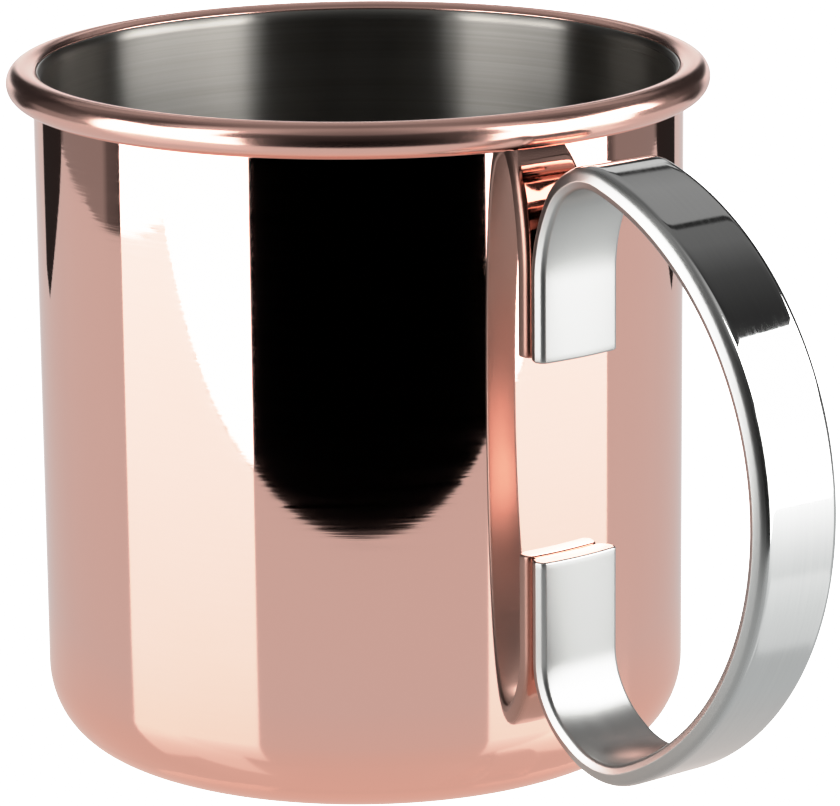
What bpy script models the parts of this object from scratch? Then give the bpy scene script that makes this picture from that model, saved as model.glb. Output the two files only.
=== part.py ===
"""A 0.45 litre copper mug for Blender 4.5: a turned copper shell with a rolled rim bead, a steel liner inside
it, and a bent steel strap handle on four spot-weld nuggets.

Metres, +Z up. The origin is the centre of the flat base, and the handle points along +X.
"""

import math

import bmesh
import bpy
from mathutils import Matrix, Vector

# Driving dimensions of the cup
BODY_RADIUS = 0.0425
HEIGHT = 0.0905
SHELL_THICKNESS = 0.00055
LINER_THICKNESS = 0.0004
LINER_GAP = 0.0002
CORNER_ACROSS = 0.0080
CORNER_UP = 0.0098
BEAD_RADIUS = 0.0023

# The bead's stations, in degrees round its centre from +X: the liner's lip ends on the inner shoulder, the
# copper steps out just past it, and the curl ends short of the wall
WALL_SIDE = 180
LIP_END = 130
STEP_START = 128
STEP_END = 121
CURL_END = -108

# Driving dimensions of the handle
STRAP_WIDTH = 0.0128
STRAP_THICKNESS = 0.0027
STRAP_EDGE_RADIUS = 0.0009
LEG_GAP = 0.00055
UPPER_LEG_END = 0.0588
UPPER_LEG = 0.0104
LOWER_LEG = 0.0132
# The strap's four bends, in order from the upper leg. The last two turn as far as their radii need to bring
# the strap back to the wall
LEAN_RADIUS, LEAN_TURN = 0.0232, math.radians(26.4)
CREST_RADIUS, CREST_TURN = 0.0077, math.radians(78.2)
BOW_RADIUS = 0.0394
HEEL_RADIUS = 0.0118
WELD_RADIUS = 0.0020
WELD_GAP = 0.00012
# How far the two welds of each leg lie from the leg's end
WELD_NEAR_END = 0.0028
WELD_NEAR_BEND = 0.0085

# Fineness of the faceted solids
ROUND_STEPS = 48
ARC_STEP = 18
CORNER_STEPS = 6
STRAP_STATIONS = 96
STRAP_ACROSS = 4
EDGE_STEPS = 3
EDGE_SHARPER_THAN = math.radians(60)
WELD_STEPS = 20
AXIS_MERGE = 0.00001

BEAD_X = BODY_RADIUS - SHELL_THICKNESS - LINER_GAP - LINER_THICKNESS + BEAD_RADIUS
BEAD_Z = HEIGHT - BEAD_RADIUS
LEG_LINE = BODY_RADIUS + LEG_GAP + STRAP_THICKNESS / 2


def clear_objects():
    for old in list(bpy.data.objects):
        bpy.data.objects.remove(old, do_unlink=True)


def make_collection(name):
    collection = bpy.data.collections.new(name)
    bpy.context.scene.collection.children.link(collection)
    return collection


def metal(name, colour, roughness):
    material = bpy.data.materials.new(name)
    material.use_nodes = True
    shader = material.node_tree.nodes["Principled BSDF"]
    shader.inputs["Base Color"].default_value = (*colour, 1.0)
    shader.inputs["Roughness"].default_value = roughness
    shader.inputs["Metallic"].default_value = 1.0
    return material


def add_object(collection, name, mesh, material):
    mesh.materials.append(material)
    piece = bpy.data.objects.new(name, mesh)
    collection.objects.link(piece)
    return piece


def bead_arc(radius, start, end):
    """Points round the bead's centre, from one angle to another in degrees, either way round."""
    count = max(1, math.ceil(abs(end - start) / ARC_STEP))
    angles = [math.radians(start + (end - start) * i / count) for i in range(count + 1)]
    return [(BEAD_X + radius * math.cos(a), BEAD_Z + radius * math.sin(a)) for a in angles]


def cup_skin(inset):
    """One skin of the cup, this far inside the outer surface: base centre, corner, foot of the wall."""
    flat = BODY_RADIUS - CORNER_ACROSS
    across, up = CORNER_ACROSS - inset, CORNER_UP - inset
    turns = [math.radians(90 * i / CORNER_STEPS) for i in range(CORNER_STEPS + 1)]
    corner = [(flat + across * math.sin(t), CORNER_UP - up * math.cos(t)) for t in turns]
    return [(0.0, inset), *corner]


def shell_profile():
    """Inside first, then over the bead and down the outer side to the base."""
    outer_curl = BEAD_RADIUS
    inner_curl = BEAD_RADIUS - SHELL_THICKNESS
    under_lip = BEAD_RADIUS - LINER_THICKNESS - LINER_GAP
    neck = under_lip - SHELL_THICKNESS
    step = STEP_START - STEP_END
    return [
        *cup_skin(SHELL_THICKNESS),
        *bead_arc(under_lip, WALL_SIDE, STEP_START),
        *bead_arc(outer_curl, STEP_END, CURL_END),
        *bead_arc(inner_curl, CURL_END, STEP_END - step),
        *bead_arc(neck, STEP_END, WALL_SIDE),
        *reversed(cup_skin(0.0)),
    ]


def liner_profile():
    """Inside first, then round the lip and down the liner's outer side."""
    outside = SHELL_THICKNESS + LINER_GAP
    return [
        *cup_skin(outside + LINER_THICKNESS),
        *bead_arc(BEAD_RADIUS, WALL_SIDE, LIP_END),
        *bead_arc(BEAD_RADIUS - LINER_THICKNESS, LIP_END, WALL_SIDE),
        *reversed(cup_skin(outside)),
    ]


def turned(collection, name, profile, material):
    """A solid of revolution about Z, from a profile whose two ends lie on the axis."""
    mesh = bpy.data.meshes.new(name)
    points = [(x, 0.0, z) for x, z in profile]
    mesh.from_pydata(points, [(i, i + 1) for i in range(len(points) - 1)], [])
    piece = add_object(collection, name, mesh, material)
    screw = piece.modifiers.new("Turn", "SCREW")
    screw.axis = "Z"
    screw.angle = math.tau
    screw.steps = ROUND_STEPS
    screw.render_steps = ROUND_STEPS
    screw.use_merge_vertices = True
    screw.merge_threshold = AXIS_MERGE
    screw.use_smooth_shade = True
    return piece


def strap_runs():
    """The strap's runs, from the upper leg's end to the lower leg's: (length, radius, turn). A straight run
    has no radius. The heading starts at +Z and turns clockwise through a whole circle."""
    after_lean = math.cos(LEAN_TURN)
    after_crest = math.cos(LEAN_TURN + CREST_TURN)
    # Each bend moves the strap out from the wall by its radius times the fall in the heading's sine, and
    # the four moves add up to nothing
    moved_out = LEAN_RADIUS * (1 - after_lean) + CREST_RADIUS * (after_lean - after_crest)
    after_bow = (moved_out + BOW_RADIUS * after_crest - HEEL_RADIUS) / (BOW_RADIUS - HEEL_RADIUS)
    bow_turn = math.tau - math.acos(after_bow) - LEAN_TURN - CREST_TURN
    heel_turn = math.tau - LEAN_TURN - CREST_TURN - bow_turn
    bends = (
        (LEAN_RADIUS, LEAN_TURN),
        (CREST_RADIUS, CREST_TURN),
        (BOW_RADIUS, bow_turn),
        (HEEL_RADIUS, heel_turn),
    )
    bent = [(radius * turn, radius, turn) for radius, turn in bends]
    return [(UPPER_LEG, None, 0.0), *bent, (LOWER_LEG, None, 0.0)]


def route_point(distance):
    """The centre line's point in the XZ plane, this far along."""
    point = Vector((LEG_LINE, UPPER_LEG_END))
    heading = math.pi / 2
    for length, radius, turn in strap_runs():
        part = min(distance, length)
        if radius is None:
            point = point + part * Vector((math.cos(heading), math.sin(heading)))
        else:
            centre = point + radius * Vector((math.sin(heading), -math.cos(heading)))
            heading -= turn * part / length
            point = centre + radius * Vector((-math.sin(heading), math.cos(heading)))
        distance -= part
        if distance <= 0:
            break
    return point


def make_strap(collection, material):
    """The bent strap: a flat grid laid along the centre line, with its legs curved to the wall, then
    thickened and given round edges."""
    length = sum(run[0] for run in strap_runs())
    sheet = bmesh.new()
    bmesh.ops.create_grid(sheet, x_segments=STRAP_STATIONS, y_segments=STRAP_ACROSS, size=0.5)
    for vertex in sheet.verts:
        along = (vertex.co.x + 0.5) * length
        across = vertex.co.y * STRAP_WIDTH
        point = route_point(along)
        on_wall = max(0.0, 1.0 - (point.x - LEG_LINE) / (2 * STRAP_THICKNESS))
        hug = on_wall * across**2 / (2 * BODY_RADIUS)
        vertex.co = (point.x - hug, across, point.y)
    mesh = bpy.data.meshes.new("handle_strap")
    sheet.to_mesh(mesh)
    sheet.free()
    strap = add_object(collection, "handle_strap", mesh, material)
    thick = strap.modifiers.new("Thickness", "SOLIDIFY")
    thick.thickness = STRAP_THICKNESS
    thick.offset = 0.0
    thick.use_even_offset = True
    edges = strap.modifiers.new("Round edges", "BEVEL")
    edges.width = STRAP_EDGE_RADIUS
    edges.segments = EDGE_STEPS
    edges.limit_method = "ANGLE"
    edges.angle_limit = EDGE_SHARPER_THAN
    mesh.shade_smooth()
    return strap


def make_weld(collection, name, height, material):
    """A flat nugget between the back of a leg and the wall."""
    depth = LEG_GAP - 2 * WELD_GAP
    disc = bmesh.new()
    bmesh.ops.create_cone(
        disc,
        cap_ends=True,
        segments=WELD_STEPS,
        radius1=WELD_RADIUS,
        radius2=WELD_RADIUS,
        depth=depth,
        matrix=Matrix.Rotation(math.radians(90), 4, "Y"),
    )
    mesh = bpy.data.meshes.new(name)
    disc.to_mesh(mesh)
    disc.free()
    nugget = add_object(collection, name, mesh, material)
    nugget.location = (BODY_RADIUS + LEG_GAP / 2, 0.0, height)


def main():
    clear_objects()
    mug = make_collection("copper_mug")
    copper = metal("copper", (0.86, 0.50, 0.38), 0.12)
    brushed = metal("brushed_steel", (0.42, 0.41, 0.38), 0.38)
    polished = metal("polished_steel", (0.72, 0.72, 0.70), 0.10)

    turned(mug, "copper_shell", shell_profile(), copper)
    turned(mug, "steel_liner", liner_profile(), brushed)
    make_strap(mug, polished)

    lower_leg_end = route_point(math.inf).y
    for place, inset in (("near_end", WELD_NEAR_END), ("near_bend", WELD_NEAR_BEND)):
        make_weld(mug, f"upper_leg_weld_{place}", UPPER_LEG_END + inset, polished)
        make_weld(mug, f"lower_leg_weld_{place}", lower_leg_end - inset, polished)


main()
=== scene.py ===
"""Looks of the copper mug: a polished copper shell with a rolled rim, a brushed steel liner and a polished
steel strap handle, on a plain pale floor between upright softboxes on the left and the right.

Metres, +Z up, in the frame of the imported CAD: the origin is the centre of the base and the handle points
along +X.
"""

import math

import bmesh
import bpy
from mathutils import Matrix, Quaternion, Vector


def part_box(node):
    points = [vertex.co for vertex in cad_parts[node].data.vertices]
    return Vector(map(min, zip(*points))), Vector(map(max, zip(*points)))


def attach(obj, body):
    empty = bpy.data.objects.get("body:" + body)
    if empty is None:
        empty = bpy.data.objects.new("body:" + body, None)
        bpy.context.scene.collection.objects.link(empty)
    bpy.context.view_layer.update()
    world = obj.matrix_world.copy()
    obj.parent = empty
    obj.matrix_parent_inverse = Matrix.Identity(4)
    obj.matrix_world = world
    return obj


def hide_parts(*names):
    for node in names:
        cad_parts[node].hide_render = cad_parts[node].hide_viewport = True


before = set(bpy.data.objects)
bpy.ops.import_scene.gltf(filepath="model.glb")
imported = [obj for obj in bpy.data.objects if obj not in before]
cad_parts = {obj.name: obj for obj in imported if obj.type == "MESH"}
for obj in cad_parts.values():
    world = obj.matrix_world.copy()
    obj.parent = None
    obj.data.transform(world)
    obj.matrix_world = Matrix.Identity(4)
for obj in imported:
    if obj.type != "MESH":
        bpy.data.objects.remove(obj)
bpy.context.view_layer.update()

# The cup, as in the CAD
BODY_RADIUS = 0.0425
SHELL_THICKNESS = 0.00055
LINER_THICKNESS = 0.0004
LINER_GAP = 0.0002
CORNER_ACROSS = 0.0080
CORNER_UP = 0.0098
BEAD_RADIUS = 0.0023
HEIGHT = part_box("copper_shell")[1].z
BEAD_X = BODY_RADIUS - SHELL_THICKNESS - LINER_GAP - LINER_THICKNESS + BEAD_RADIUS
BEAD_Z = HEIGHT - BEAD_RADIUS

# Stations round the bead's centre, in degrees from the outward side. The liner's lip ends 10 degrees nearer
# to the wall than in the CAD, and the copper steps out just past it
WALL_SIDE = 180
LIP_END = 140
UNDER_LIP_END = LIP_END - 1.5
STEP_OUT = LIP_END - 2
NECK_START = LIP_END - 9
INNER_CURL_END = LIP_END - 16
CURL_END = -108

# The handle, as in the CAD
STRAP_WIDTH = 0.0128
STRAP_THICKNESS = 0.0027
LEG_GAP = 0.00055
UPPER_LEG_END = 0.0588
UPPER_LEG = 0.0104
LOWER_LEG = 0.0132
LEAN_RADIUS, LEAN_TURN = 0.0232, math.radians(26.4)
CREST_RADIUS, CREST_TURN = 0.0077, math.radians(78.2)
BOW_RADIUS = 0.0394
HEEL_RADIUS = 0.0118
WELD_RADIUS = 0.0020
LEG_LINE = BODY_RADIUS + LEG_GAP + STRAP_THICKNESS / 2

# The strap's side, as runs from its outer face round to its hand face: (length, radius, turn in degrees). A
# straight run has no radius. They make the section 2.9 mm thick, where the CAD's is 2.7 mm
SIDE_RUNS = (
    (None, 0.0015, 69),
    (0.0008, None, 0),
    (None, 0.0003, 42),
    (0.0006, None, 0),
    (None, 0.0007, 69),
)
OUTER_FACE = -STRAP_THICKNESS / 2
END_ROUND = 0.0003
# How much nearer to the wall the legs lie than in the CAD
LEG_PRESS = 0.00035
# How far behind the outer face the strap is fully satin
SATIN_DEPTH = 0.0004
# A weld nugget's rim, as (share of its radius, share of its depth)
WELD_RIM = ((0.85, -0.5), (0.97, -0.3), (1.0, 0.0), (0.97, 0.3), (0.85, 0.5))

# Fineness
ROUND_STEPS = 256
BEAD_STEP = 5.0
CORNER_STEPS = 20
BASE_ROWS = 6
WALL_ROWS = 6
STRAP_STATIONS = 260
SIDE_STEPS = 10
FACE_STEPS = 14
END_STEPS = 5
WELD_STEPS = 40

# The camera, from where the photograph was taken
CAMERA_AZIMUTH = math.radians(52.93)
CAMERA_PLACE = Vector((0.47901, -0.36187, 0.19992))
LOOK_AT = Vector((0.00484, 0.00593, 0.04386))
CAMERA_ROLL = math.radians(-0.546)
SENSOR = 36.0
LENS = 199.8

# The table that the mug mirrors, as spots (right, ahead) from the cup's axis: its front edge, and its right
# side with a strip that runs back from it. The left side is the right side's mirror image
TABLE_FRONT = ((-0.12, 0.172), (0.145, 0.172))
TABLE_CORNER = (0.36, 0.14)
TABLE_SIDE = (TABLE_CORNER, (0.37, -0.115), (0.345, -0.23), (0.19, -0.205), (0.205, -0.9))

# The softboxes along the table's edge: (name, start, end, radiance). The low ones stand on the table, and the
# high ones above them light the liner
LEFT_CORNER = (-TABLE_CORNER[0], TABLE_CORNER[1])
SOFTBOX_SPLIT = 0.125
SOFTBOX_TOP = 0.295
LOW_SOFTBOXES = (
    ("softbox_left_front", TABLE_FRONT[0], LEFT_CORNER, 4.4),
    ("softbox_left_back", LEFT_CORNER, (-0.365, 0.015), 4.4),
    ("softbox_right_front", TABLE_FRONT[1], TABLE_CORNER, 4.4),
    ("softbox_right_back", TABLE_CORNER, (0.365, -0.01), 4.4),
)
HIGH_SOFTBOXES = (
    ("softbox_left_front_high", (-0.16, 0.167), LEFT_CORNER, 5.2),
    ("softbox_left_back_high", LEFT_CORNER, (-0.365, 0.015), 5.2),
    ("softbox_right_front_high", (0.175, 0.167), TABLE_CORNER, 7.0),
    ("softbox_right_back_high", TABLE_CORNER, (0.37, -0.095), 7.0),
)

# The dim studio's grey levels, as (degrees, level) stops. Turn is measured from the camera's side, the same
# on the left and the right, and rise from the horizon
TURN_SPAN = (0, 180)
RISE_SPAN = (-10, 90)
STUDIO_STRENGTH = 1.08
BACK_BY_RISE = (
    (-10, 0.60),
    (0, 0.90),
    (16.5, 0.90),
    (18, 0.04),
    (24, 0.04),
    (25.5, 0.70),
    (34, 0.75),
    (34.5, 0.03),
    (35.5, 0.03),
    (36.5, 0.30),
    (42, 0.35),
    (60, 0.30),
    (90, 0.15),
)
FRONT_BY_RISE = ((0, 0.0), (34, 0.03), (47, 0.07), (60, 0.15), (75, 0.25))
OVER_SOFTBOXES_BY_TURN = ((0, 0.15), (25, 0.2), (50, 0.55), (75, 0.55), (90, 0.03))
LOW_SIDE_BY_TURN = ((92, 0.0), (94, 0.08), (99, 0.10), (102, 0.25), (127, 0.25), (130, 0.02))
GROUND_SIDE_BY_TURN = ((92, 0.0), (102, 0.05), (127, 0.05), (130, 0.02))
HIGH_SIDE_BY_TURN = ((94, 0.03), (110, 0.075), (125, 0.165), (135, 0.18), (136, 0.03))
OVERHEAD_BY_TURN = ((0, 0.25), (60, 0.35), (90, 0.2), (135, 0.2), (180, 0.15))

# Where one part of the studio gives way to the next, in degrees
GROUND_TO_LOW = (1, 4)
LOW_TO_HIGH = (32.5, 33.5)
FRONT_TO_OVER = (41, 46)
WALLS_TO_OVERHEAD = (55, 75)
FRONT_TO_SIDE = (88, 94)
SIDE_TO_BACK_AT_GROUND = (148.5, 149.5)
SIDE_TO_BACK_LOW = (165, 168)
SIDE_TO_BACK_HIGH = (138, 139)

# The camera's tone response, as (light, shown): straight up to the light greys, then a soft shoulder
BRIGHTEST = 4.0
COMBINED_CURVE = 3
TONE_KNOTS = (
    (0.2, 0.2),
    (0.4, 0.4),
    (0.6, 0.6),
    (0.75, 0.74),
    (1.0, 0.865),
    (1.25, 0.93),
    (1.5, 0.97),
    (2.0, 0.995),
    (2.5, 1.0),
)

TO_CAMERA = Vector((math.sin(CAMERA_AZIMUTH), -math.cos(CAMERA_AZIMUTH), 0.0))
TO_RIGHT = Vector((math.cos(CAMERA_AZIMUTH), math.sin(CAMERA_AZIMUTH), 0.0))

# ---------------------------------------------------------------------------------------------- materials


class Nodes:
    """Small helper for building a material's nodes."""

    def __init__(self, name):
        self.material = bpy.data.materials.new(name)
        self.material.use_nodes = True
        self.tree = self.material.node_tree
        self.shader = self.tree.nodes["Principled BSDF"]

    def add(self, kind, **values):
        node = self.tree.nodes.new(kind)
        for key, value in values.items():
            setattr(node, key, value)
        return node

    def link(self, a, b):
        self.tree.links.new(a, b)

    def set(self, **values):
        for key, value in values.items():
            self.shader.inputs[key.replace("_", " ")].default_value = value

    def stretched(self, scale):
        """Object coordinates, scaled by axis."""
        place = self.add("ShaderNodeTexCoord")
        mapping = self.add("ShaderNodeMapping")
        mapping.inputs["Scale"].default_value = scale
        self.link(place.outputs["Object"], mapping.inputs["Vector"])
        return mapping.outputs["Vector"]

    def noise(self, vector, scale=1.0, detail=2.0, roughness=0.5):
        noise = self.add("ShaderNodeTexNoise")
        noise.inputs["Scale"].default_value = scale
        noise.inputs["Detail"].default_value = detail
        noise.inputs["Roughness"].default_value = roughness
        self.link(vector, noise.inputs["Vector"])
        return noise.outputs["Fac"]

    def ramp(self, value, low, high, out_low, out_high):
        spread = self.add("ShaderNodeMapRange")
        for key, number in (("From Min", low), ("From Max", high), ("To Min", out_low), ("To Max", out_high)):
            spread.inputs[key].default_value = number
        self.link(value, spread.inputs["Value"])
        return spread.outputs["Result"]

    def mix(self, value, first, second):
        mix = self.add("ShaderNodeMix", data_type="RGBA")
        mix.inputs["A"].default_value = (*first, 1.0)
        mix.inputs["B"].default_value = (*second, 1.0)
        self.link(value, mix.inputs["Factor"])
        return mix.outputs["Result"]

    def bump(self, height, distance, normal=None):
        bump = self.add("ShaderNodeBump")
        bump.inputs["Distance"].default_value = distance
        self.link(height, bump.inputs["Height"])
        if normal is not None:
            self.link(normal, bump.inputs["Normal"])
        return bump.outputs["Normal"]


def copper_material():
    """Mirror-polished copper: faint polishing rings round the cup, and a slow change of tone."""
    nodes = Nodes("copper")
    nodes.set(Metallic=1.0)
    rings = nodes.noise(nodes.stretched((30.0, 30.0, 1500.0)), detail=3.0)
    patches = nodes.noise(nodes.stretched((60.0, 60.0, 60.0)), detail=3.0)
    nodes.link(nodes.bump(rings, 0.000002), nodes.shader.inputs["Normal"])
    # The bead is buffed less than the wall
    place = nodes.add("ShaderNodeSeparateXYZ")
    nodes.link(nodes.stretched((1.0, 1.0, 1.0)), place.inputs["Vector"])
    softer = nodes.ramp(place.outputs["Z"], BEAD_Z - BEAD_RADIUS, BEAD_Z - 0.7 * BEAD_RADIUS, 0.0, 0.15)
    blur = nodes.add("ShaderNodeMath", operation="ADD")
    nodes.link(nodes.ramp(rings, 0.3, 0.7, 0.025, 0.05), blur.inputs[0])
    nodes.link(softer, blur.inputs[1])
    nodes.link(blur.outputs["Value"], nodes.shader.inputs["Roughness"])
    tone = nodes.mix(patches, (0.94, 0.545, 0.46), (0.94, 0.565, 0.48))
    nodes.link(tone, nodes.shader.inputs["Base Color"])
    return nodes.material


def liner_material():
    """Steel brushed round the cup."""
    nodes = Nodes("brushed_steel")
    nodes.set(Metallic=1.0, Anisotropic=1.0, Anisotropic_Rotation=0.25)
    tangent = nodes.add("ShaderNodeTangent", direction_type="RADIAL", axis="Z")
    nodes.link(tangent.outputs["Tangent"], nodes.shader.inputs["Tangent"])
    lines = nodes.noise(nodes.stretched((12.0, 12.0, 2600.0)), detail=4.0)
    nodes.link(nodes.ramp(lines, 0.25, 0.75, 0.27, 0.34), nodes.shader.inputs["Roughness"])
    tone = nodes.mix(lines, (0.24, 0.23, 0.21), (0.34, 0.325, 0.305))
    nodes.link(tone, nodes.shader.inputs["Base Color"])
    nodes.link(nodes.bump(lines, 0.000003), nodes.shader.inputs["Normal"])
    return nodes.material


def strap_material():
    """Polished steel, satin on the sides and the hand side."""
    nodes = Nodes("polished_steel")
    nodes.set(Metallic=1.0)
    lines = nodes.noise(nodes.stretched((60.0, 1800.0, 60.0)), detail=3.0)
    satin = nodes.add("ShaderNodeAttribute", attribute_name="satin").outputs["Fac"]
    polish = nodes.ramp(lines, 0.3, 0.7, 0.03, 0.07)
    blur = nodes.add("ShaderNodeMath", operation="MULTIPLY_ADD")
    nodes.link(satin, blur.inputs[0])
    blur.inputs[1].default_value = 0.30
    nodes.link(polish, blur.inputs[2])
    nodes.link(blur.outputs["Value"], nodes.shader.inputs["Roughness"])
    tone = nodes.mix(lines, (0.62, 0.62, 0.615), (0.67, 0.67, 0.66))
    duller = nodes.add("ShaderNodeMix", data_type="RGBA")
    nodes.link(satin, duller.inputs["Factor"])
    nodes.link(tone, duller.inputs["A"])
    duller.inputs["B"].default_value = (0.46, 0.46, 0.45, 1.0)
    nodes.link(duller.outputs["Result"], nodes.shader.inputs["Base Color"])
    nodes.link(nodes.bump(lines, 0.000001), nodes.shader.inputs["Normal"])
    return nodes.material


def weld_material():
    """Bare weld metal, dull and a little heat-tinted."""
    nodes = Nodes("weld_steel")
    nodes.set(Metallic=1.0)
    grain = nodes.noise(nodes.stretched((900.0, 900.0, 900.0)), detail=3.0)
    nodes.link(nodes.ramp(grain, 0.3, 0.7, 0.35, 0.6), nodes.shader.inputs["Roughness"])
    tone = nodes.mix(grain, (0.42, 0.38, 0.34), (0.60, 0.58, 0.55))
    nodes.link(tone, nodes.shader.inputs["Base Color"])
    nodes.link(nodes.bump(grain, 0.00003), nodes.shader.inputs["Normal"])
    return nodes.material


def glow(name, colour, strength=1.0):
    """A plain light-giving surface for the floor and the surround."""
    material = bpy.data.materials.new(name)
    material.use_nodes = True
    tree = material.node_tree
    tree.nodes.clear()
    emission = tree.nodes.new("ShaderNodeEmission")
    emission.inputs["Color"].default_value = (*colour, 1.0)
    emission.inputs["Strength"].default_value = strength
    output = tree.nodes.new("ShaderNodeOutputMaterial")
    tree.links.new(emission.outputs["Emission"], output.inputs["Surface"])
    return material


# ---------------------------------------------------------------------------------------------- pieces


def new_piece(name, mesh_maker, material, node):
    mesh = bpy.data.meshes.new(name)
    mesh_maker.to_mesh(mesh)
    mesh_maker.free()
    mesh.materials.append(material)
    mesh.shade_smooth()
    piece = bpy.data.objects.new(name, mesh)
    bpy.context.scene.collection.objects.link(piece)
    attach(piece, "root")
    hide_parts(node)
    return piece


def lathe(profile, steps=ROUND_STEPS):
    """A closed solid of revolution, from a profile whose ends lie on the axis."""
    solid = bmesh.new()
    first, *rings, last = profile
    turns = [(math.cos(math.tau * i / steps), math.sin(math.tau * i / steps)) for i in range(steps)]
    start = solid.verts.new((0.0, 0.0, first[1]))
    rows = [[solid.verts.new((r * c, r * s, z)) for c, s in turns] for r, z in rings]
    end = solid.verts.new((0.0, 0.0, last[1]))
    for i in range(steps):
        j = (i + 1) % steps
        solid.faces.new((start, rows[0][i], rows[0][j]))
        solid.faces.new((end, rows[-1][j], rows[-1][i]))
        for low, high in zip(rows, rows[1:]):
            solid.faces.new((low[i], high[i], high[j], low[j]))
    bmesh.ops.recalc_face_normals(solid, faces=solid.faces)
    return solid


def bead_arc(radius, start, end):
    """Points round the bead's centre, from one angle to another in degrees, either way round."""
    count = max(1, math.ceil(abs(end - start) / BEAD_STEP))
    angles = [math.radians(start + (end - start) * i / count) for i in range(count + 1)]
    return [(BEAD_X + radius * math.cos(a), BEAD_Z + radius * math.sin(a)) for a in angles]


def cup_skin(inset):
    """One skin of the cup: base, corner and wall."""
    flat = BODY_RADIUS - CORNER_ACROSS
    across, up = CORNER_ACROSS - inset, CORNER_UP - inset
    turns = [math.radians(90 * i / CORNER_STEPS) for i in range(CORNER_STEPS + 1)]
    corner = [(flat + across * math.sin(t), CORNER_UP - up * math.cos(t)) for t in turns]
    base = [(flat * i / BASE_ROWS, inset) for i in range(BASE_ROWS)]
    rise = (BEAD_Z - CORNER_UP) / (WALL_ROWS + 1)
    wall = [(BODY_RADIUS - inset, CORNER_UP + rise * (i + 1)) for i in range(WALL_ROWS)]
    return [*base, *corner, *wall]


def shell_profile():
    """Inside first, then over the bead and down the outer side to the base."""
    under_lip = BEAD_RADIUS - LINER_THICKNESS - LINER_GAP
    inner_curl = BEAD_RADIUS - SHELL_THICKNESS
    neck = under_lip - SHELL_THICKNESS
    return [
        *cup_skin(SHELL_THICKNESS),
        *bead_arc(under_lip, WALL_SIDE, UNDER_LIP_END),
        *bead_arc(BEAD_RADIUS, STEP_OUT, CURL_END),
        *bead_arc(inner_curl, CURL_END, INNER_CURL_END),
        *bead_arc(neck, NECK_START, WALL_SIDE),
        *reversed(cup_skin(0.0)),
    ]


def liner_profile():
    """Inside first, then round the lip and down the liner's outer side."""
    outside = SHELL_THICKNESS + LINER_GAP
    return [
        *cup_skin(outside + LINER_THICKNESS),
        *bead_arc(BEAD_RADIUS, WALL_SIDE, LIP_END),
        *bead_arc(BEAD_RADIUS - LINER_THICKNESS, LIP_END, WALL_SIDE),
        *reversed(cup_skin(outside)),
    ]


def strap_runs():
    """The strap's runs: (length, radius, turn). A straight run has no radius."""
    after_lean = math.cos(LEAN_TURN)
    after_crest = math.cos(LEAN_TURN + CREST_TURN)
    moved_out = LEAN_RADIUS * (1 - after_lean) + CREST_RADIUS * (after_lean - after_crest)
    after_bow = (moved_out + BOW_RADIUS * after_crest - HEEL_RADIUS) / (BOW_RADIUS - HEEL_RADIUS)
    bow_turn = math.tau - math.acos(after_bow) - LEAN_TURN - CREST_TURN
    heel_turn = math.tau - LEAN_TURN - CREST_TURN - bow_turn
    bends = (
        (LEAN_RADIUS, LEAN_TURN),
        (CREST_RADIUS, CREST_TURN),
        (BOW_RADIUS, bow_turn),
        (HEEL_RADIUS, heel_turn),
    )
    bent = [(radius * turn, radius, turn) for radius, turn in bends]
    return [(UPPER_LEG, None, 0.0), *bent, (LOWER_LEG, None, 0.0)]


def route_point(distance):
    """The centre line's point (x, z) this far along, and its heading as an angle from +X."""
    point = Vector((LEG_LINE, UPPER_LEG_END))
    heading = math.pi / 2
    for length, radius, turn in strap_runs():
        part = min(distance, length)
        if radius is None:
            point = point + part * Vector((math.cos(heading), math.sin(heading)))
        else:
            centre = point + radius * Vector((math.sin(heading), -math.cos(heading)))
            heading -= turn * part / length
            point = centre + radius * Vector((-math.sin(heading), math.cos(heading)))
        distance -= part
        if distance <= 0:
            break
    return point, heading


def strap_side():
    """The strap's side as (across, off) points, from the outer face round to the hand face. Off is positive
    on the hand's side, inside the loop, and negative on the outer face, which is the legs' side to the
    wall."""
    heading = 0.0
    side = [Vector((0.0, OUTER_FACE))]
    for length, radius, turn in SIDE_RUNS:
        if radius is None:
            side.append(side[-1] + length * Vector((math.cos(heading), math.sin(heading))))
            continue
        centre = side[-1] + radius * Vector((-math.sin(heading), math.cos(heading)))
        for _ in range(SIDE_STEPS):
            heading += math.radians(turn / SIDE_STEPS)
            side.append(centre + radius * Vector((math.sin(heading), -math.cos(heading))))
    reach = max(across for across, off in side)
    return [(across - reach + STRAP_WIDTH / 2, off) for across, off in side]


def strap_section():
    """The strap's section as (across, off) points going round once."""
    side = strap_side()
    other_side = [(-across, off) for across, off in reversed(side)]
    return [*side, *between(side[-1], other_side[0]), *other_side, *between(other_side[-1], side[0])]


def between(start, end):
    """Even points between two section points, without the two themselves."""
    shares = [i / FACE_STEPS for i in range(1, FACE_STEPS)]
    return [(start[0] + (end[0] - start[0]) * t, start[1] + (end[1] - start[1]) * t) for t in shares]


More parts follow.
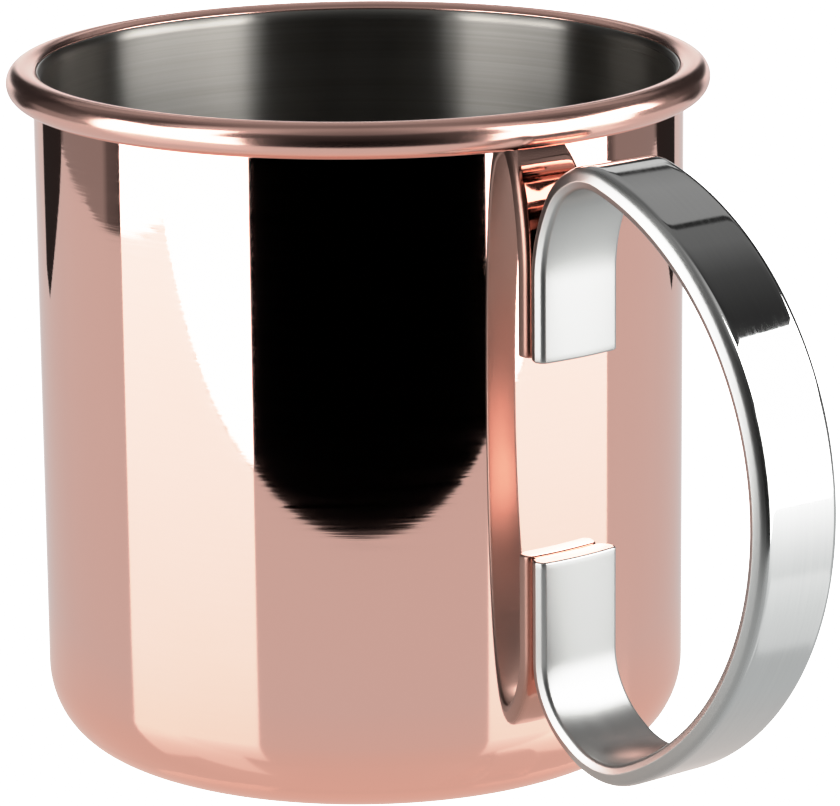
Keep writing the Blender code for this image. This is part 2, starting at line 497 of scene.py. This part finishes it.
def strap_solid():
    """The bent strap, with its legs pressed to the wall and its ends just eased. The satin layer is 0 on
    the outer face and 1 on the sides and the hand side."""
    length = sum(run[0] for run in strap_runs())
    section = strap_section()
    hand_face = max(off for across, off in section)
    middle = (OUTER_FACE + hand_face) / 2
    deep = hand_face - middle
    solid = bmesh.new()
    satin = solid.verts.layers.float.new("satin")
    rows = []

    def add_row(along, shrink=0.0):
        point, heading = route_point(along)
        out = Vector((math.sin(heading), -math.cos(heading)))
        on_wall = max(0.0, 1.0 - (point.x - LEG_LINE) / (2 * STRAP_THICKNESS))
        row = []
        for across, off in section:
            off_outer_face = min(1.0, (off - OUTER_FACE) / SATIN_DEPTH)
            across *= 1 - shrink / (STRAP_WIDTH / 2)
            off = middle + (off - middle) * (1 - shrink / deep)
            hug = on_wall * (across**2 / (2 * BODY_RADIUS) + LEG_PRESS)
            place = point + off * out
            vertex = solid.verts.new((place.x - hug, across, place.y))
            vertex[satin] = off_outer_face
            row.append(vertex)
        rows.append(row)

    end_turns = [math.radians(90 * i / END_STEPS) for i in range(END_STEPS, 0, -1)]
    eased = [(END_ROUND * (1 - math.sin(t)), END_ROUND * (1 - math.cos(t))) for t in end_turns]
    ring_on_cap = (0.0, 1.5 * END_ROUND)
    ends = [ring_on_cap, *eased]
    for along, shrink in ends:
        add_row(along, shrink)
    plain = length - 2 * END_ROUND
    for i in range(STRAP_STATIONS + 1):
        add_row(END_ROUND + plain * i / STRAP_STATIONS)
    for along, shrink in reversed(ends):
        add_row(length - along, shrink)
    return solid, rows


def close_rows(solid, rows):
    """Faces between each row of vertices and the next, and a cap at each end."""
    for low, high in zip(rows, rows[1:]):
        count = len(low)
        for i in range(count):
            j = (i + 1) % count
            solid.faces.new((low[i], low[j], high[j], high[i]))
    solid.faces.new(list(reversed(rows[0])))
    solid.faces.new(rows[-1])
    bmesh.ops.recalc_face_normals(solid, faces=solid.faces)


def weld_solid(centre, depth):
    """A flat weld nugget with a swollen rim."""
    solid = bmesh.new()
    turns = [math.tau * i / WELD_STEPS for i in range(WELD_STEPS)]
    rows = []
    for radius_share, depth_share in WELD_RIM:
        radius = radius_share * WELD_RADIUS
        ring = [Vector((depth_share * depth, radius * math.cos(t), radius * math.sin(t))) for t in turns]
        rows.append([solid.verts.new(centre + place) for place in ring])
    close_rows(solid, rows)
    return solid


# ---------------------------------------------------------------------------------------------- stage


def spot(right, ahead, height=0.0):
    """A point beside the cup's axis: this far to the camera's right, and this far towards the camera."""
    return TO_RIGHT * right + TO_CAMERA * ahead + Vector((0.0, 0.0, height))


def stage_face(name, corners, material):
    """A flat part of the stage."""
    mesh = bpy.data.meshes.new(name)
    mesh.from_pydata([tuple(c) for c in corners], [], [tuple(range(len(corners)))])
    mesh.materials.append(material)
    piece = bpy.data.objects.new(name, mesh)
    bpy.context.scene.collection.objects.link(piece)
    return piece


def show_only_to_camera(piece):
    piece.visible_diffuse = False
    piece.visible_glossy = False
    piece.visible_shadow = False


def floor_material():
    """The floor as the mug mirrors it: pale, with a soft gloss, and painted warmer near the foot as a
    stand-in for light bounced off the copper.
    """
    nodes = Nodes("pale_floor")
    tree = nodes.tree
    place = nodes.add("ShaderNodeNewGeometry")
    length = nodes.add("ShaderNodeVectorMath", operation="LENGTH")
    nodes.link(place.outputs["Position"], length.inputs[0])
    # Painted bounce light: between 36 and 85 mm from the axis the floor's glow turns from warm copper to pale
    # grey, in place of light reflected off the mug
    far = nodes.ramp(length.outputs["Value"], 0.036, 0.085, 0.0, 1.0)
    emission = nodes.add("ShaderNodeEmission")
    nodes.link(nodes.mix(far, (0.71, 0.61, 0.56), (0.62, 0.635, 0.64)), emission.inputs["Color"])
    glossy = nodes.add("ShaderNodeBsdfGlossy")
    glossy.inputs["Roughness"].default_value = 0.12
    fresnel = nodes.add("ShaderNodeFresnel")
    fresnel.inputs["IOR"].default_value = 1.5
    black = nodes.add("ShaderNodeEmission")
    black.inputs["Strength"].default_value = 0.0
    gloss = nodes.add("ShaderNodeMixShader")
    both = nodes.add("ShaderNodeAddShader")
    nodes.link(fresnel.outputs["Fac"], gloss.inputs["Fac"])
    nodes.link(black.outputs["Emission"], gloss.inputs[1])
    nodes.link(glossy.outputs["BSDF"], gloss.inputs[2])
    nodes.link(emission.outputs["Emission"], both.inputs[0])
    nodes.link(gloss.outputs["Shader"], both.inputs[1])
    nodes.link(both.outputs["Shader"], tree.nodes["Material Output"].inputs["Surface"])
    tree.nodes.remove(nodes.shader)
    return nodes.material


def softbox(name, start, end, low, high, radiance):
    """An upright area light between two spots and two heights, facing the mug."""
    width = (end - start).length
    height = high - low
    data = bpy.data.lights.new(name, "AREA")
    data.shape = "RECTANGLE"
    data.size = width
    data.size_y = height
    data.energy = radiance * math.pi * width * height
    middle = (start + end) / 2
    facing = (end - start).cross(Vector((0.0, 0.0, 1.0)))
    if facing.dot(middle) > 0:
        facing = -facing
    light = bpy.data.objects.new(name, data)
    light.location = middle + Vector((0.0, 0.0, (low + high) / 2))
    light.rotation_mode = "QUATERNION"
    light.rotation_quaternion = facing.to_track_quat("-Z", "Y")
    light.visible_camera = False
    bpy.context.scene.collection.objects.link(light)


class Studio:
    """The dim studio round the stage, as grey levels by turn and rise in degrees."""

    def __init__(self):
        self.world = bpy.data.worlds.new("studio")
        self.world.use_nodes = True
        self.tree = self.world.node_tree
        place = self.tree.nodes.new("ShaderNodeTexCoord")
        self.direction = place.outputs["Generated"]
        ahead = self.along(TO_CAMERA)
        right = self.along(TO_RIGHT)
        up = self.along(Vector((0.0, 0.0, 1.0)))
        aside_only = self.math("ABSOLUTE", right)
        self.turn = self.math("MULTIPLY", self.math("ARCTAN2", aside_only, ahead), math.degrees(1.0))
        self.rise = self.math("MULTIPLY", self.math("ARCSINE", up), math.degrees(1.0))

    def math(self, operation, first, second=None, third=None):
        node = self.tree.nodes.new("ShaderNodeMath")
        node.operation = operation
        for socket, value in zip(node.inputs, (first, second, third)):
            if isinstance(value, (int, float)):
                socket.default_value = value
            elif value is not None:
                self.tree.links.new(value, socket)
        return node.outputs["Value"]

    def along(self, axis):
        node = self.tree.nodes.new("ShaderNodeVectorMath")
        node.operation = "DOT_PRODUCT"
        node.inputs[1].default_value = axis
        self.tree.links.new(self.direction, node.inputs[0])
        return node.outputs["Value"]

    def levels(self, angle, low, high, stops):
        """Grey levels at these angles, blended in between."""
        node = self.tree.nodes.new("ShaderNodeValToRGB")
        ramp = node.color_ramp
        share = self.math("DIVIDE", self.math("SUBTRACT", angle, low), high - low)
        self.tree.links.new(share, node.inputs["Fac"])
        for i, (at, level) in enumerate(stops):
            position = (at - low) / (high - low)
            stop = ramp.elements[i] if i < 2 else ramp.elements.new(position)
            stop.position = position
            stop.color = (level, level, level, 1.0)
        return node.outputs["Color"]

    def blend(self, share, first, second):
        node = self.tree.nodes.new("ShaderNodeMix")
        node.data_type = "RGBA"
        self.tree.links.new(share, node.inputs["Factor"])
        self.tree.links.new(first, node.inputs["A"])
        self.tree.links.new(second, node.inputs["B"])
        return node.outputs["Result"]

    def between(self, angle, low, high):
        """0 up to one angle, 1 from another on."""
        node = self.tree.nodes.new("ShaderNodeMapRange")
        node.inputs["From Min"].default_value = low
        node.inputs["From Max"].default_value = high
        self.tree.links.new(angle, node.inputs["Value"])
        return node.outputs["Result"]


def make_studio():
    studio = Studio()

    def by_turn(stops):
        return studio.levels(studio.turn, *TURN_SPAN, stops)

    def by_rise(stops):
        return studio.levels(studio.rise, *RISE_SPAN, stops)

    def over_turn(span):
        return studio.between(studio.turn, *span)

    def over_rise(span):
        return studio.between(studio.rise, *span)

    off_ground = over_rise(GROUND_TO_LOW)
    is_high = over_rise(LOW_TO_HIGH)
    front = studio.blend(over_rise(FRONT_TO_OVER), by_rise(FRONT_BY_RISE), by_turn(OVER_SOFTBOXES_BY_TURN))
    low_side = studio.blend(off_ground, by_turn(LOW_SIDE_BY_TURN), by_turn(GROUND_SIDE_BY_TURN))
    side = studio.blend(is_high, low_side, by_turn(HIGH_SIDE_BY_TURN))
    front_and_side = studio.blend(over_turn(FRONT_TO_SIDE), front, side)
    is_low_back = studio.blend(off_ground, over_turn(SIDE_TO_BACK_AT_GROUND), over_turn(SIDE_TO_BACK_LOW))
    is_back = studio.blend(is_high, is_low_back, over_turn(SIDE_TO_BACK_HIGH))
    walls = studio.blend(is_back, front_and_side, by_rise(BACK_BY_RISE))
    studio_levels = studio.blend(over_rise(WALLS_TO_OVERHEAD), walls, by_turn(OVERHEAD_BY_TURN))
    background = studio.tree.nodes["Background"]
    background.inputs["Strength"].default_value = STUDIO_STRENGTH
    studio.tree.links.new(studio_levels, background.inputs["Color"])
    bpy.context.scene.world = studio.world


def make_backdrop():
    """The pure white floor and surround that only the camera sees."""
    white = glow("white_backdrop", (1.0, 1.0, 1.0), 3.0)
    reach = 6.0
    below_table = -0.0006
    corners = [(-reach, -reach), (reach, -reach), (reach, reach), (-reach, reach)]
    show_only_to_camera(stage_face("floor_seen", [(*c, below_table) for c in corners], white))
    bpy.ops.mesh.primitive_uv_sphere_add(radius=7.0, segments=48, ring_count=24)
    dome = bpy.context.object
    dome.name = "backdrop_seen"
    dome.data.materials.append(white)
    show_only_to_camera(dome)


def make_stage():
    make_backdrop()
    just_under_mug = -0.0003
    left_side = [(-right, ahead) for right, ahead in reversed(TABLE_SIDE)]
    outline = [spot(*place, just_under_mug) for place in (*TABLE_FRONT, *TABLE_SIDE, *left_side)]
    table = stage_face("floor_mirrored", outline, floor_material())
    table.visible_camera = False
    for name, start, end, radiance in LOW_SOFTBOXES:
        softbox(name, spot(*start), spot(*end), 0.0, SOFTBOX_SPLIT, radiance)
    for name, start, end, radiance in HIGH_SOFTBOXES:
        softbox(name, spot(*start), spot(*end), SOFTBOX_SPLIT, SOFTBOX_TOP, radiance)
    make_studio()


def set_tone():
    view = bpy.context.scene.view_settings
    view.view_transform = "Standard"
    view.use_curve_mapping = True
    tone = view.curve_mapping
    tone.white_level = (BRIGHTEST, BRIGHTEST, BRIGHTEST)
    for light, shown in TONE_KNOTS:
        tone.curves[COMBINED_CURVE].points.new(light / BRIGHTEST, shown)
    tone.update()


def make_camera():
    data = bpy.data.cameras.new("camera")
    data.sensor_width = SENSOR
    data.lens = LENS
    data.clip_start = 0.01
    data.clip_end = 20.0
    camera = bpy.data.objects.new("camera", data)
    camera.location = CAMERA_PLACE
    camera.rotation_mode = "QUATERNION"
    level = (LOOK_AT - CAMERA_PLACE).to_track_quat("-Z", "Y")
    camera.rotation_quaternion = level @ Quaternion((0.0, 0.0, 1.0), CAMERA_ROLL)
    bpy.context.scene.collection.objects.link(camera)
    bpy.context.scene.camera = camera


def main():
    make_camera()
    set_tone()
    new_piece("shell", lathe(shell_profile()), copper_material(), "copper_shell")
    new_piece("liner", lathe(liner_profile()), liner_material(), "steel_liner")
    solid, rows = strap_solid()
    close_rows(solid, rows)
    new_piece("strap", solid, strap_material(), "handle_strap")
    weld_look = weld_material()
    for leg in ("upper", "lower"):
        for place in ("near_end", "near_bend"):
            node = f"{leg}_leg_weld_{place}"
            low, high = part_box(node)
            solid = weld_solid((low + high) / 2, high.x - low.x)
            new_piece(f"weld_{leg}_{place}", solid, weld_look, node)
    make_stage()


main()
